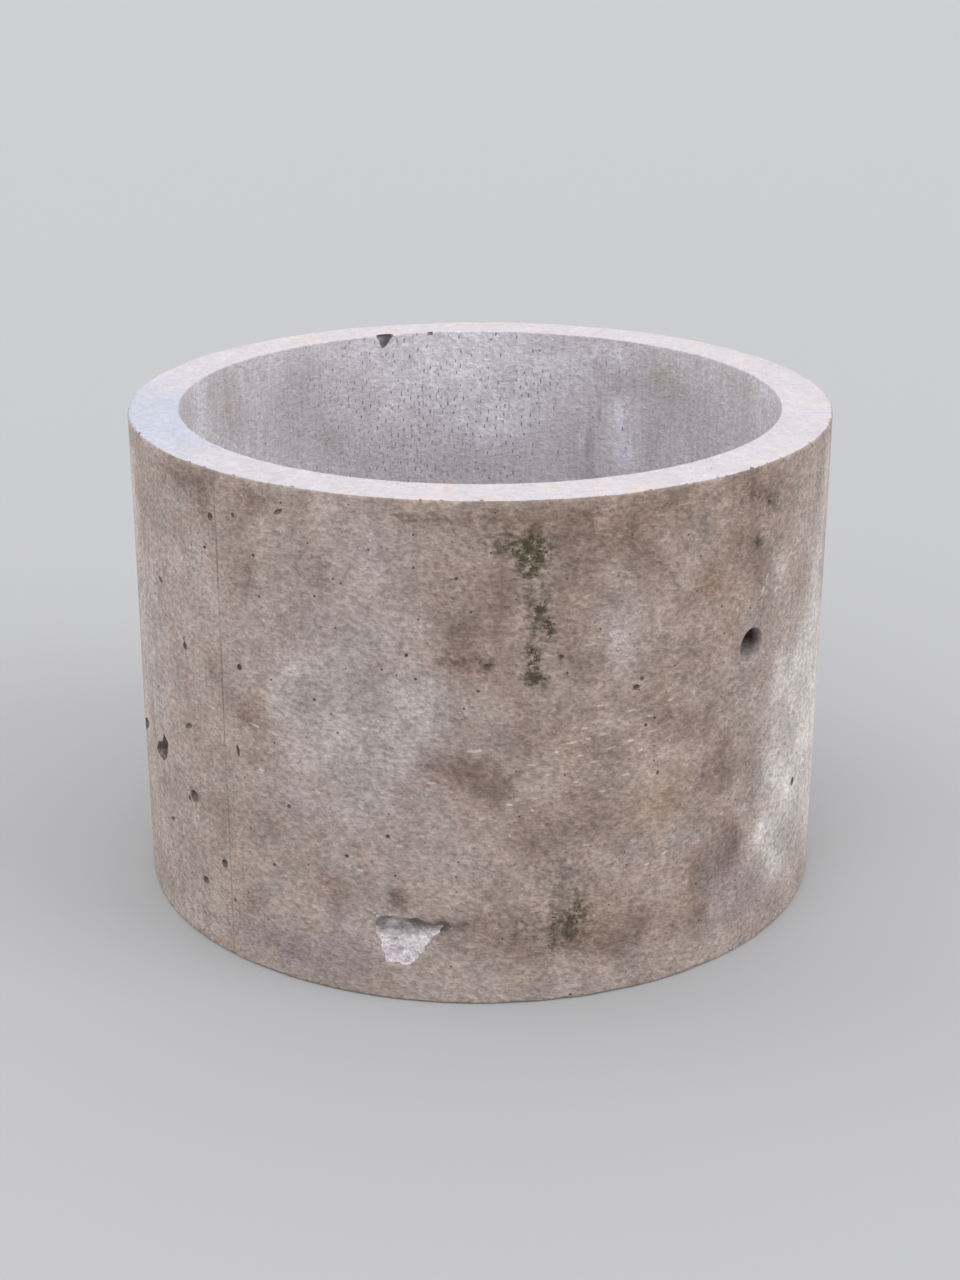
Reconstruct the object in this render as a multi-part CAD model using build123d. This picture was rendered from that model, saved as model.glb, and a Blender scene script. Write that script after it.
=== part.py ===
from build123d import *
import os
from math import cos, radians, sin

# Cast concrete culvert ring, standing on one of its two flat ends. The origin is the centre of the
# foot. An azimuth is in degrees round the ring as it is seen from above, from -Y towards +X, where
# the first lifting hole is. Heights are up from the foot unless their names say not.

# Wall
bore_diameter = 1000
wall_thickness = 85
ring_height = 820
outer_arris = 5  # width of the bevel on the outer edge of each end
inner_arris = 2.5

# Lifting holes, cast through the wall by round plugs, evenly spaced round the ring
lifting_hole_count = 2
lifting_hole_diameter = 56
lifting_hole_below_rim = 290
lifting_hole_azimuth = 90
lifting_mouth_radius = 4

# Lines left up the outer face where the halves of the form met
form_halves = 2
form_joint_azimuth = 0.8
form_joint_width = 4
form_joint_depth = 1.5

# Air holes in the outer face: (azimuth, height or distance below the rim, width of the mouth,
# depth)
air_holes_above_foot = [
    (-8.1, 253, 20, 9),
    (-0.6, 160, 15, 6),
    (-5.8, 111, 14, 5),
    (105.8, 240, 14, 5),
]
air_holes_below_rim = [
    (-8.7, 310, 12, 5),
    (4.8, 307, 11, 5),
    (-0.3, 78, 12, 4),
    (67.4, 307, 11, 4),
]

# Broken places. An outline is drawn on the wall as it is looked at: right and up from its place.
# Its floor is the same outline drawn in towards its deepest point.
hollow_azimuth, hollow_height, hollow_depth = -20.3, 293, 24
hollow_outline = [(-32, -15), (10, -20), (27, -8), (35, 21), (16, 31), (6, 12), (-16, 5)]
hollow_deepest = (9, -7)

gouge_azimuth, gouge_height, gouge_depth = -32.5, 288, 11
gouge_outline = [(-56, -34), (-34, -30), (8, -10), (40, 8), (44, 18), (20, 15), (-20, 2), (-54, -22)]
gouge_deepest = (4, -1)

flake_azimuth, flake_height, flake_depth = 32.2, 112, 11
flake_outline = [(-50, 22), (-44, 34), (20, 35), (67, 21), (13, -55), (-30, -50)]
flake_deepest = (4, 20)

# Nicks in the rim's inner arris, placed by the rim: (azimuth, outline, deepest point, depth)
rim_nicks = [
    (244.9, [(-18, 5), (20, 5), (17, -5), (4, -22), (-5, -27)], (1, -11), 12),
    (234.7, [(-8, 5), (8, 5), (5, -7), (-5, -7)], (0, -4), 6),
]

floor_share = 0.42  # a broken place's floor, as a share of its mouth
proud = 6  # how far a cutting shape stands out of the face, past the wall's own curve

bore_radius = bore_diameter / 2
outer_radius = bore_radius + wall_thickness


def on_outer_face(azimuth, height):
    """A plane on the outer face: X to the right as it is looked at, Y up, Z out of the concrete."""
    a = radians(azimuth)
    place = (outer_radius * sin(a), -outer_radius * cos(a), height)
    return Plane(origin=place, x_dir=(cos(a), sin(a), 0), z_dir=(sin(a), -cos(a), 0))


def on_inner_face(azimuth, height):
    """The same on the bore's wall, looked at from inside."""
    a = radians(azimuth)
    place = (bore_radius * sin(a), -bore_radius * cos(a), height)
    return Plane(origin=place, x_dir=(-cos(a), -sin(a), 0), z_dir=(-sin(a), cos(a), 0))


def wall_section():
    """One side of the ring's cross-section, with its arrises taken off: it is turned about the axis."""
    middle = Pos(bore_radius + wall_thickness / 2, ring_height / 2)
    section = middle * Rectangle(wall_thickness, ring_height)
    section = chamfer(section.vertices().group_by(Axis.X)[-1], outer_arris)
    section = chamfer(section.vertices().group_by(Axis.X)[0], inner_arris)
    return Plane.XZ * section


def with_lifting_holes(ring):
    """Cuts the holes through the wall and rounds their mouths, inside and out."""
    plugs = []
    for i in range(lifting_hole_count):
        azimuth = lifting_hole_azimuth + 360 / lifting_hole_count * i
        face = on_outer_face(azimuth, ring_height - lifting_hole_below_rim).offset(proud)
        plugs.append(extrude(face * Circle(lifting_hole_diameter / 2), -(wall_thickness + 2 * proud)))
    holed = ring - plugs
    mouths = new_edges(ring, *plugs, combined=holed).filter_by(GeomType.LINE, reverse=True)
    return fillet(mouths, lifting_mouth_radius)


def form_joint(azimuth):
    """The narrow V between two halves of the form, from foot to rim."""
    foot = on_outer_face(azimuth, 0)
    across = Plane(origin=foot.origin, x_dir=foot.x_dir, z_dir=foot.y_dir)
    half = form_joint_width / 2 * (1 + proud / form_joint_depth)
    groove = make_face(Polyline((-half, -proud), (half, -proud), (0, form_joint_depth), close=True))
    return extrude(across * groove, ring_height)


def air_hole(azimuth, height, mouth, depth):
    """A bubble left against the form: the part of a ball that makes this mouth at this depth."""
    radius = (mouth**2 / 4 + depth**2) / (2 * depth)
    return on_outer_face(azimuth, height).offset(radius - depth) * Sphere(radius)


def broken_place(face, outline, deepest, depth):
    """A piece broken out of a face, with flat fractured sides running down to a smaller floor."""
    floor = [
        tuple(d + (p - d) * floor_share for p, d in zip(point, deepest)) for point in outline
    ]
    mouth = face.offset(proud) * make_face(Polyline(*outline, close=True))
    bottom = face.offset(-depth) * make_face(Polyline(*floor, close=True))
    return loft([mouth, bottom], ruled=True)


ring = revolve(wall_section(), Axis.Z)
ring = with_lifting_holes(ring)
ring -= [form_joint(form_joint_azimuth + 360 / form_halves * i) for i in range(form_halves)]
for azimuth, height, mouth, depth in air_holes_above_foot:
    ring -= air_hole(azimuth, height, mouth, depth)
for azimuth, below_rim, mouth, depth in air_holes_below_rim:
    ring -= air_hole(azimuth, ring_height - below_rim, mouth, depth)
ring -= broken_place(
    on_outer_face(hollow_azimuth, hollow_height), hollow_outline, hollow_deepest, hollow_depth
)
ring -= broken_place(
    on_outer_face(gouge_azimuth, gouge_height), gouge_outline, gouge_deepest, gouge_depth
)
ring -= broken_place(
    on_outer_face(flake_azimuth, flake_height), flake_outline, flake_deepest, flake_depth
)
for azimuth, outline, deepest, depth in rim_nicks:
    ring -= broken_place(on_inner_face(azimuth, ring_height), outline, deepest, depth)

os.makedirs("parts", exist_ok=True)
export_step(ring, "parts/culvert_ring.step")
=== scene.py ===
from math import cos, degrees, pi, radians, sin

import bmesh
import bpy
import numpy as np
from mathutils import Matrix, Vector, noise


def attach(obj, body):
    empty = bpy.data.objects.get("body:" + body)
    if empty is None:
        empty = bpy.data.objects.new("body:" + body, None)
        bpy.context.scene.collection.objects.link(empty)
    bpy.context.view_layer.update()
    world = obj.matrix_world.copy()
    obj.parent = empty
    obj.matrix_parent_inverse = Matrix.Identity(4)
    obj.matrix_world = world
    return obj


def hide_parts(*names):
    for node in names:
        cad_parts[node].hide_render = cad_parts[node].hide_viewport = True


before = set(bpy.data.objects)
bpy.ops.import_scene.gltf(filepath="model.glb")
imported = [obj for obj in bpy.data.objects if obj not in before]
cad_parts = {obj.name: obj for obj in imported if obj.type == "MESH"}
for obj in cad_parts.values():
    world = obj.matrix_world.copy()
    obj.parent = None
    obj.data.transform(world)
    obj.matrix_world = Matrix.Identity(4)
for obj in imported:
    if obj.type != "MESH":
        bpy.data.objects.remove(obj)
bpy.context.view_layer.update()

# The casting. The whole object is one ring of concrete, poured between a steel outer form in two
# halves and a steel core with a closing strip, and trowelled off level at the top. All that follows,
# as far as the moss, is cut into this one piece. Sizes are in metres, and an azimuth is in degrees
# as seen from above, from -Y (0) towards +X (90).
bore_radius = 0.500
outer_radius = 0.585
ring_height = 0.820
outer_arris = 0.0050
inner_arris = 0.0025
form_joints = (0.8, 180.8)
form_joint_width, form_joint_depth = 0.0050, 0.0020
joint_step, joint_step_width = 0.0005, 0.09  # one side slopes back to the joint
core_strip_edges = (187.6, 197.2)
core_strip_depth, core_strip_slope = 0.0010, 0.002
# how far the faces swell in and out: (depth, width of a swell, number for the pattern)
form_swells = ((0.0014, 0.28, 1), (0.0006, 0.06, 2))
core_swells = ((0.0010, 0.22, 4), (0.0004, 0.05, 5))
trowel_swells = ((0.0011, 0.10, 6), (0.0007, 0.022, 7))
hair = 0.0002  # how far the faces stay inside their true sizes
columns_round, rows_up, rows_across, rows_of_arris = 400, 36, 6, 4


def place_at(azimuth, radius, height):
    a = radians(azimuth)
    return radius * sin(a), -radius * cos(a), height


def around(azimuth, centre):
    """Degrees from the centre to the azimuth, the short way round."""
    return (azimuth - centre + 180) % 360 - 180


def uneven(place, size, seed):
    """Smooth unevenness from 0 to 1, in swells of about this size."""
    return 0.5 + 0.5 * noise.noise(Vector(place) / size + Vector((3.7, 7.1, 1.9)) * seed)


def swells(place, kinds):
    """How far a face lies back here, with swells of these kinds."""
    return sum(depth * uneven(place, width, number) for depth, width, number in kinds)


def outer_face(azimuth, height):
    """The outer face's radius. It lies back by the bulges of the form and by the joints' grooves."""
    here = place_at(azimuth, outer_radius, height)
    back = swells(here, form_swells)
    for joint in form_joints:
        off = radians(around(azimuth, joint)) * outer_radius
        groove = form_joint_depth * max(0.1, 2.6 * uneven((0, 0, height), 0.09, 3) - 0.6)
        back += groove * max(0, 1 - abs(off) / (form_joint_width / 2))
        back += joint_step * (off < 0) * max(0, 1 + off / joint_step_width)
    return outer_radius - hair - back


def inner_face(azimuth, height):
    """The bore's radius, with the shallow recess that the core's closing strip left."""
    here = place_at(azimuth, bore_radius, height)
    back = swells(here, core_swells)
    first, last = core_strip_edges
    inside = min(azimuth - first, last - azimuth) * radians(1) * bore_radius
    return bore_radius + hair + back + core_strip_depth * min(1, max(0, inside / core_strip_slope))


def rim_level(azimuth, radius):
    """The top of the rim, in the low swells and ridges that a hand trowel leaves."""
    here = place_at(azimuth, radius, ring_height)
    level = ring_height - hair
    for depth, width, number in trowel_swells:
        level -= depth * uneven(here, width, number)
    return level


def rounded_edge(radius, height, inwards, upwards, from_end, first, second):
    """The quarter round between a wall and the rim or foot, cut back from their corner by these lengths.
    It runs from the first kind of face to the second: from the rim or foot, or else from the wall."""
    outline = []
    for i in range(rows_of_arris):
        t = pi / 2 * i / rows_of_arris
        across, up = (1 - sin(t), 1 - cos(t)) if from_end else (1 - cos(t), 1 - sin(t))
        kind = first if i < rows_of_arris // 2 else second
        outline.append((radius + inwards * across, height + upwards * up, kind))
    return outline


def cross_section(azimuth):
    """The wall's outline here: (radius, height, kind of face up to the next point), anticlockwise
    from the foot of the outer face. The kinds are 0 outer, 1 rim, 2 inner and 3 foot."""
    here = place_at(azimuth, outer_radius, 0)
    # worn unevenly by handling, and broken wider here and there
    worn = 0.45 + 0.8 * uneven(here, 0.011, 8) + max(0, 2.4 * uneven(here, 0.045, 11) - 1.2)
    out, inn = outer_arris * worn, inner_arris * (0.6 + 0.7 * uneven(here, 0.014, 9))
    edge_out = outer_face(azimuth, ring_height - out)
    edge_in = inner_face(azimuth, ring_height - inn)
    foot_out, foot_in = outer_face(azimuth, out), inner_face(azimuth, inn)
    top_out, top_in = rim_level(azimuth, edge_out - out), rim_level(azimuth, edge_in + inn)
    low = hair + 0.0004 * uneven(here, 0.08, 10)
    outline = []
    for i in range(rows_up):
        z = low + out + (top_out - low - 2 * out) * i / rows_up
        outline.append((outer_face(azimuth, z), z, 0))
    outline += rounded_edge(edge_out, top_out, -out, -out, False, 0, 1)
    for i in range(rows_across):
        r = edge_out - out - (edge_out - out - edge_in - inn) * i / rows_across
        outline.append((r, rim_level(azimuth, r), 1))
    outline += rounded_edge(edge_in, top_in, inn, -inn, True, 1, 2)
    for i in range(rows_up):
        z = top_in - inn - (top_in - low - 2 * inn) * i / rows_up
        outline.append((inner_face(azimuth, z), z, 2))
    outline += rounded_edge(foot_in, low, inn, inn, False, 2, 3)
    for i in range(rows_across):
        outline.append((foot_in + inn + (foot_out - out - foot_in - inn) * i / rows_across, low, 3))
    return outline + rounded_edge(foot_out, low, -out, out, True, 3, 0)


azimuths = [360 * i / columns_round for i in range(columns_round)]
for joint in form_joints:
    azimuths += [joint + side * degrees(form_joint_width / 2 / outer_radius) for side in (-1, 0, 1)]
for edge, inwards in zip(core_strip_edges, (1, -1)):
    azimuths += [edge, edge + inwards * degrees(core_strip_slope / bore_radius)]
azimuths.sort()
sections = [cross_section(azimuth) for azimuth in azimuths]
around_section = len(sections[0])
points, quads, kinds = [], [], []
for j, azimuth in enumerate(azimuths):
    points += [place_at(azimuth, radius, height) for radius, height, kind in sections[j]]
    for k in range(around_section):
        a, b = j * around_section, (j + 1) % len(azimuths) * around_section
        n = (k + 1) % around_section
        quads.append((a + k, b + k, b + n, a + n))
        kinds.append(sections[j][k][2])
casting_mesh = bpy.data.meshes.new("cast_ring")
casting_mesh.from_pydata(points, [], quads)
casting_mesh.polygons.foreach_set("material_index", kinds)
cast_ring = bpy.data.objects.new("cast_ring", casting_mesh)
bpy.context.scene.collection.objects.link(cast_ring)


# The skin. Every face of the casting has the same sandy cement, mottled and stained in its own way.
# What the faces share comes first, then the stains, and then each face's own finish.
def linear(code):
    """The linear RGBA of an sRGB hex value."""
    parts = [int(code[i : i + 2], 16) / 255 for i in (1, 3, 5)]
    return [p / 12.92 if p <= 0.04045 else ((p + 0.055) / 1.055) ** 2.4 for p in parts] + [1.0]


def connect(tree, node, inputs):
    """Gives a node's inputs, by name or number, their values or links from other nodes or sockets."""
    for name, value in inputs.items():
        socket = node.inputs[name] if isinstance(name, int) else next(
            s for s in node.inputs if s.enabled and s.name == name
        )
        if isinstance(value, bpy.types.Node):
            value = next(s for s in value.outputs if s.enabled)
        if isinstance(value, bpy.types.NodeSocket):
            tree.links.new(value, socket)
        else:
            socket.default_value = value


def add_node(tree, kind, inputs=None, **settings):
    """Adds a node with its settings, values and links."""
    node = tree.nodes.new(kind)
    for name, value in settings.items():
        setattr(node, name, value)
    connect(tree, node, inputs or {})
    return node


def new_group(name, kind, inputs, outputs):
    """An empty node group, with its input and output nodes. Each socket is listed as type and name."""
    tree = bpy.data.node_groups.new(name, kind)
    for in_out, sockets in (("INPUT", inputs), ("OUTPUT", outputs)):
        for socket in sockets.split(", "):
            sort, label = socket.split()
            tree.interface.new_socket(label, in_out=in_out, socket_type="NodeSocket" + sort)
    return tree, tree.nodes.new("NodeGroupInput"), tree.nodes.new("NodeGroupOutput")


def mottling(tree, place, size, detail, roughness, low, high, twist=0.0):
    """Soft spots of about this size. Their middle range, low to high, is stretched to 0 to 1."""
    spots = add_node(
        tree, "ShaderNodeTexNoise",
        {"Vector": place, "Scale": 1 / size, "Detail": detail, "Roughness": roughness, "Distortion": twist},
    )
    return add_node(tree, "ShaderNodeMapRange", {"Value": spots, "From Min": low, "From Max": high})


def sandy_cement():
    """What every face of the concrete shares: sand with pale and dark grains, flecks of 11 by 8 mm lying
    level, blotches of 75 mm, clouds of 200 mm, pinholes up to 4 mm wide and level scrapes 20 mm long.
    Sand and grains are drawn 3 to 7 mm wide, coarser than they are, so that they can be seen."""
    tree, given, result = new_group(
        "sand_and_cement", "ShaderNodeTree", "Vector Place, Float Sand, Float Flecks, Float Blotches",
        "Float Level, Float Flecks, Float Blotches, Float Clouds, Float Ragged, Float Pinholes, "
        "Float Scrapes, Float Relief",
    )
    turned, level_lying, drawn_along = (
        add_node(
            tree, "ShaderNodeMapping",
            {"Vector": given.outputs["Place"], "Rotation": rotation, "Scale": scale},
        )
        for rotation, scale in (
            ((0.5, 0.4, 0.9), (1.0, 1.0, 1.0)),
            ((0.0, 0.0, 0.0), (1.0, 1.0, 1.35)),
            ((0.12, 0.0, 0.0), (50.0, 50.0, 260.0)),
        )
    )
    sand = mottling(tree, turned, 0.007, 2.0, 0.75, 0.30, 0.70)
    flecks = mottling(tree, level_lying, 0.011, 1.5, 0.7, 0.30, 0.70)
    blotches = mottling(tree, turned, 0.075, 4.0, 0.68, 0.30, 0.70)
    clouds = mottling(tree, turned, 0.20, 3.0, 0.55, 0.32, 0.68, twist=0.6)
    scrapes = mottling(tree, drawn_along, 1.0, 1.0, 0.5, 0.62, 0.74)
    grains, bubbles = (
        add_node(tree, "ShaderNodeTexVoronoi", {"Vector": turned, "Scale": 1 / size}, feature="F1")
        for size in (0.0075, 0.015)
    )
    chances = add_node(tree, "ShaderNodeSeparateColor", {"Color": grains.outputs["Color"]})
    shape = add_node(
        tree, "ShaderNodeMapRange",
        {"Value": grains.outputs["Distance"], "From Min": 0.42, "From Max": 0.18},
    )
    for drawn, contrast in (("Green", 1.2), ("Blue", -0.7)):
        grain = add_node(
            tree, "ShaderNodeMapRange", {"Value": chances.outputs[drawn], "From Min": 0.76, "From Max": 0.92}
        )
        grain = add_node(tree, "ShaderNodeMath", {0: grain, 1: shape}, operation="MULTIPLY")
        sand = add_node(tree, "ShaderNodeMath", {0: grain, 1: contrast, 2: sand}, operation="MULTIPLY_ADD")
    chance = add_node(tree, "ShaderNodeSeparateColor", {"Color": bubbles.outputs["Color"]})
    width = add_node(
        tree, "ShaderNodeMapRange",
        {"Value": chance, "From Min": 0.60, "From Max": 1.0, "To Min": 0.0, "To Max": 0.15},
    )
    pinholes = add_node(
        tree, "ShaderNodeMath", {0: width, 1: bubbles.outputs["Distance"]}, operation="SUBTRACT"
    )
    pinholes = add_node(
        tree, "ShaderNodeMapRange", {"Value": pinholes, "From Min": 0.0, "From Max": 0.06},
        interpolation_type="SMOOTHSTEP",
    )
    ragged = add_node(tree, "ShaderNodeMath", {0: flecks, 1: 0.20, 2: 0.0}, operation="MULTIPLY_ADD")
    ragged = add_node(tree, "ShaderNodeMath", {0: blotches, 1: 0.80, 2: ragged}, operation="MULTIPLY_ADD")
    level = 1.0
    for spots, share in ((sand, "Sand"), (flecks, "Flecks"), (blotches, "Blotches")):
        part = add_node(tree, "ShaderNodeMath", {0: spots, 1: 0.5}, operation="SUBTRACT")
        part = add_node(
            tree, "ShaderNodeMath", {0: part, 1: given.outputs[share], 2: 1.0}, operation="MULTIPLY_ADD"
        )
        level = add_node(tree, "ShaderNodeMath", {0: level, 1: part}, operation="MULTIPLY")
    relief = add_node(tree, "ShaderNodeMath", {0: sand, 1: 0.6, 2: flecks}, operation="MULTIPLY_ADD")
    relief = add_node(tree, "ShaderNodeMath", {0: pinholes, 1: -1.5, 2: relief}, operation="MULTIPLY_ADD")
    connect(tree, result, {
        "Level": level, "Flecks": flecks, "Blotches": blotches, "Clouds": clouds, "Ragged": ragged,
        "Pinholes": pinholes, "Scrapes": scrapes, "Relief": relief,
    })
    return tree


def stain_coat():
    """A stain laid over the concrete. How much of it lies here comes with the mesh, and a pattern breaks
    it up, so that its edge runs between the clouds and flecks as a real one does. Where Ragged is below
    zero, the pattern's low places hold more of it."""
    tree, given, result = new_group(
        "stain", "ShaderNodeTree",
        "Color Under, Color Stain, Float Amount, Float Pattern, Float Ragged, Float From, Float To, "
        "Float Strength",
        "Color Colour",
    )
    found = given.outputs
    cover = add_node(
        tree, "ShaderNodeMath", {0: found["Pattern"], 1: 2.0, 2: -1.0}, operation="MULTIPLY_ADD"
    )
    cover = add_node(tree, "ShaderNodeMath", {0: cover, 1: found["Ragged"], 2: 1.0}, operation="MULTIPLY_ADD")
    cover = add_node(tree, "ShaderNodeMath", {0: cover, 1: found["Amount"]}, operation="MULTIPLY")
    cover = add_node(
        tree, "ShaderNodeMapRange", {"Value": cover, "From Min": found["From"], "From Max": found["To"]},
        interpolation_type="SMOOTHSTEP",
    )
    cover = add_node(
        tree, "ShaderNodeMath", {0: cover, 1: found["Strength"]}, operation="MULTIPLY", use_clamp=True
    )
    laid = add_node(
        tree, "ShaderNodeMix", {"Factor": cover, "A": found["Under"], "B": found["Stain"]}, data_type="RGBA"
    )
    connect(tree, result, {"Colour": laid})
    return tree


sand_and_cement, stain = sandy_cement(), stain_coat()

# The stains, as parts of the mesh: (azimuth, height, half its width, half its height, strength), with
# the middle and reach of each soft patch in degrees and millimetres. Heights on the bore's face are
# below the rim.
washed_grey = [
    (25, 560, 150, 170, 0.55), (22, 430, 120, 110, 0.5), (27, 350, 60, 80, 0.55), (15.5, 480, 50, 55, 0.5),
    (28, 740, 60, 60, 0.4), (36, 500, 40, 42, 0.8), (35, 448, 42, 30, 0.75), (33, 410, 26, 40, 0.45),
    (-9, 610, 70, 90, 0.35), (64, 555, 60, 60, 0.3), (79, 755, 28, 42, 0.45), (-20, 480, 60, 200, 0.35),
    (24, 130, 100, 24, 0.35), (14, 300, 60, 40, 0.25), (43, 431, 22, 16, 0.6), (60, 470, 36, 40, 0.3),
    (40, 260, 60, 40, 0.25), (66, 245, 60, 40, 0.25), (88, 470, 30, 60, 0.3), (-20, 380, 70, 380, 0.35),
    (66, 600, 50, 70, 0.35), (57, 520, 30, 24, 0.3), (73, 560, 30, 40, 0.25), (50, 350, 40, 24, 0.3),
    (64, 625, 30, 50, 0.4), (78, 640, 24, 40, 0.3), (64, 400, 30, 24, 0.35), (55, 440, 30, 20, 0.3),
    (75, 245, 34, 20, 0.35), (57, 210, 30, 30, 0.3), (79, 470, 20, 50, 0.3), (38, 330, 50, 40, 0.4),
    (72, 400, 50, 60, 0.3), (84, 520, 26, 40, 0.25), (57, 375, 30, 16, 0.3),
]
brown_film = [
    (70, 420, 310, 410, 0.5), (-6, 802, 120, 24, 0.6), (78, 800, 260, 28, 0.6), (25, 808, 100, 12, 0.4),
    (88, 680, 90, 130, 0.5), (60, 690, 80, 60, 0.4), (57, 590, 30, 60, 0.3), (72, 660, 26, 70, 0.3),
    (47, 660, 24, 90, 0.35), (77, 590, 20, 50, 0.35), (58, 330, 30, 60, 0.25), (58, 110, 80, 50, 0.5),
    (79, 110, 60, 40, 0.5), (70, 770, 240, 50, 0.35), (8, 778, 45, 12, 0.8), (-2, 760, 30, 50, 0.55),
    (5, 700, 50, 60, 0.5), (7, 668, 26, 40, 0.5), (20, 665, 120, 44, 0.3), (33, 786, 40, 16, 0.5),
    (40, 790, 60, 24, 0.4), (42, 700, 60, 60, 0.5), (42, 610, 62, 60, 0.6), (41, 565, 60, 22, 0.55),
    (48, 560, 40, 40, 0.4), (-1, 495, 26, 30, 0.5), (8.5, 485, 24, 26, 0.5), (6, 435, 42, 32, 0.65),
    (7.5, 375, 34, 30, 0.5), (40, 395, 55, 40, 0.8), (46, 378, 30, 40, 0.6), (-3, 290, 90, 60, 0.3),
    (10, 250, 90, 60, 0.35), (20, 190, 26, 26, 0.65), (27, 232, 24, 34, 0.5), (32, 178, 18, 22, 0.8),
    (22, 160, 40, 20, 0.45), (4, 120, 70, 40, 0.4), (63, 770, 110, 30, 0.5), (65, 740, 60, 20, 0.45),
    (70, 785, 60, 20, 0.5), (85, 720, 34, 34, 0.6), (57, 640, 50, 60, 0.35), (55, 470, 70, 44, 0.35),
    (90, 780, 70, 30, 0.6), (83, 350, 34, 60, 0.55), (80, 440, 30, 50, 0.35), (86, 190, 16, 80, 0.7),
    (79, 170, 16, 90, 0.6), (84, 352, 24, 46, 0.4), (82, 185, 36, 80, 0.4), (71, 205, 24, 40, 0.4),
    (73, 480, 30, 60, 0.35), (54, 610, 20, 60, 0.35), (62, 560, 16, 50, 0.3), (69, 715, 40, 24, 0.4),
    (90, 640, 30, 40, 0.4), (50, 290, 24, 30, 0.35), (66, 160, 36, 20, 0.35), (-8, 786, 70, 20, 0.6),
    (12, 790, 90, 18, 0.6), (52, 790, 110, 22, 0.65), (66, 786, 60, 22, 0.45), (52, 752, 60, 40, 0.3),
    (60, 130, 40, 60, 0.5), (66, 100, 120, 40, 0.5), (48, 90, 60, 40, 0.3), (88, 215, 16, 40, 0.6),
    (52, 300, 80, 60, 0.3), (40, 330, 30, 24, 0.4), (47, 150, 60, 60, 0.3), (70, 120, 60, 40, 0.3),
    (38, 140, 14, 16, 0.6), (43, 120, 60, 50, 0.3),
]
iron_tint = [
    (80, 660, 60, 46, 0.75), (72, 300, 62, 36, 0.8), (75, 350, 50, 40, 0.55), (57, 440, 34, 26, 0.6),
    (67, 330, 50, 46, 0.4), (70, 500, 60, 60, 0.35), (62, 270, 50, 30, 0.4), (52, 240, 60, 40, 0.35),
    (38, 640, 40, 50, 0.3), (9, 490, 22, 26, 0.4), (46, 770, 30, 26, 0.4), (22, 150, 40, 20, 0.3),
    (-22, 110, 60, 30, 0.3), (84, 560, 40, 60, 0.3),
]
violet_tint = [
    (16, 52, 90, 34, 0.9), (5, 60, 60, 24, 0.6), (24, 75, 50, 34, 0.7), (95, 90, 70, 50, 0.6),
    (85, 160, 60, 80, 0.5), (17, 490, 44, 50, 0.4), (27, 480, 60, 80, 0.35), (24, 340, 50, 60, 0.35),
    (66, 620, 70, 60, 0.25), (83, 350, 50, 50, 0.4), (40, 395, 50, 40, 0.25), (90, 110, 60, 40, 0.5),
    (32, 240, 60, 50, 0.25), (104, 300, 60, 60, 0.2),
]
# lime bloom; the broad patches at azimuths -32 to -28 and 90 to 122, along the outer face's left and right
# edges as the camera sees them, are partly painted light, the face brightening at a grazing angle
lime_and_painted_edge_light = [
    (95, 188, 26, 26, 0.95), (98, 160, 40, 50, 0.5), (97, 290, 46, 60, 0.5), (113, 320, 110, 210, 0.95),
    (114, 560, 60, 130, 0.5), (118, 740, 50, 90, 0.5), (104, 235, 60, 60, 0.7), (122, 280, 70, 260, 0.9),
    (104, 470, 60, 60, 0.4), (99, 420, 50, 90, 0.45), (101, 110, 50, 50, 0.55), (80, 240, 36, 14, 0.4),
    (-32, 700, 60, 160, 0.6), (-30, 420, 50, 160, 0.5), (-28, 180, 40, 90, 0.35), (20, 804, 16, 10, 0.8),
    (22.5, 788, 9, 8, 0.7), (64, 462, 34, 26, 0.3), (36, 470, 22, 30, 0.35), (97, 640, 40, 50, 0.35),
    (90, 590, 30, 30, 0.3), (34, 100, 50, 26, 0.35), (89, 254, 12, 8, 0.4),
]
algae_film = [
    (51.6, 736, 27, 38, 1.0), (50.6, 744, 15, 22, 0.8), (46.5, 742, 34, 14, 0.6), (48, 768, 34, 24, 0.4),
    (52.5, 650, 13, 20, 1.0), (53.8, 619, 11, 18, 0.85), (51.6, 580, 12, 26, 1.0), (51.9, 544, 22, 14, 1.0),
    (50.6, 690, 20, 60, 0.32), (52, 640, 30, 60, 0.25), (55.4, 576, 6, 9, 0.55), (49, 555, 14, 12, 0.5),
    (45, 564, 20, 12, 0.55), (41, 575, 34, 16, 0.5), (40, 700, 40, 70, 0.25), (43, 790, 60, 20, 0.3),
    (58.8, 155, 12, 34, 0.55), (57.6, 120, 16, 26, 0.5), (55.2, 125, 9, 50, 0.5), (55, 230, 60, 60, 0.3),
    (58, 135, 50, 50, 0.5), (50, 130, 40, 24, 0.4), (-8.5, 511, 10, 12, 0.5), (34, 790, 40, 14, 0.45),
    (3, 650, 30, 60, 0.25), (6, 425, 30, 22, 0.25), (32, 178, 14, 16, 0.45),
]
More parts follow.
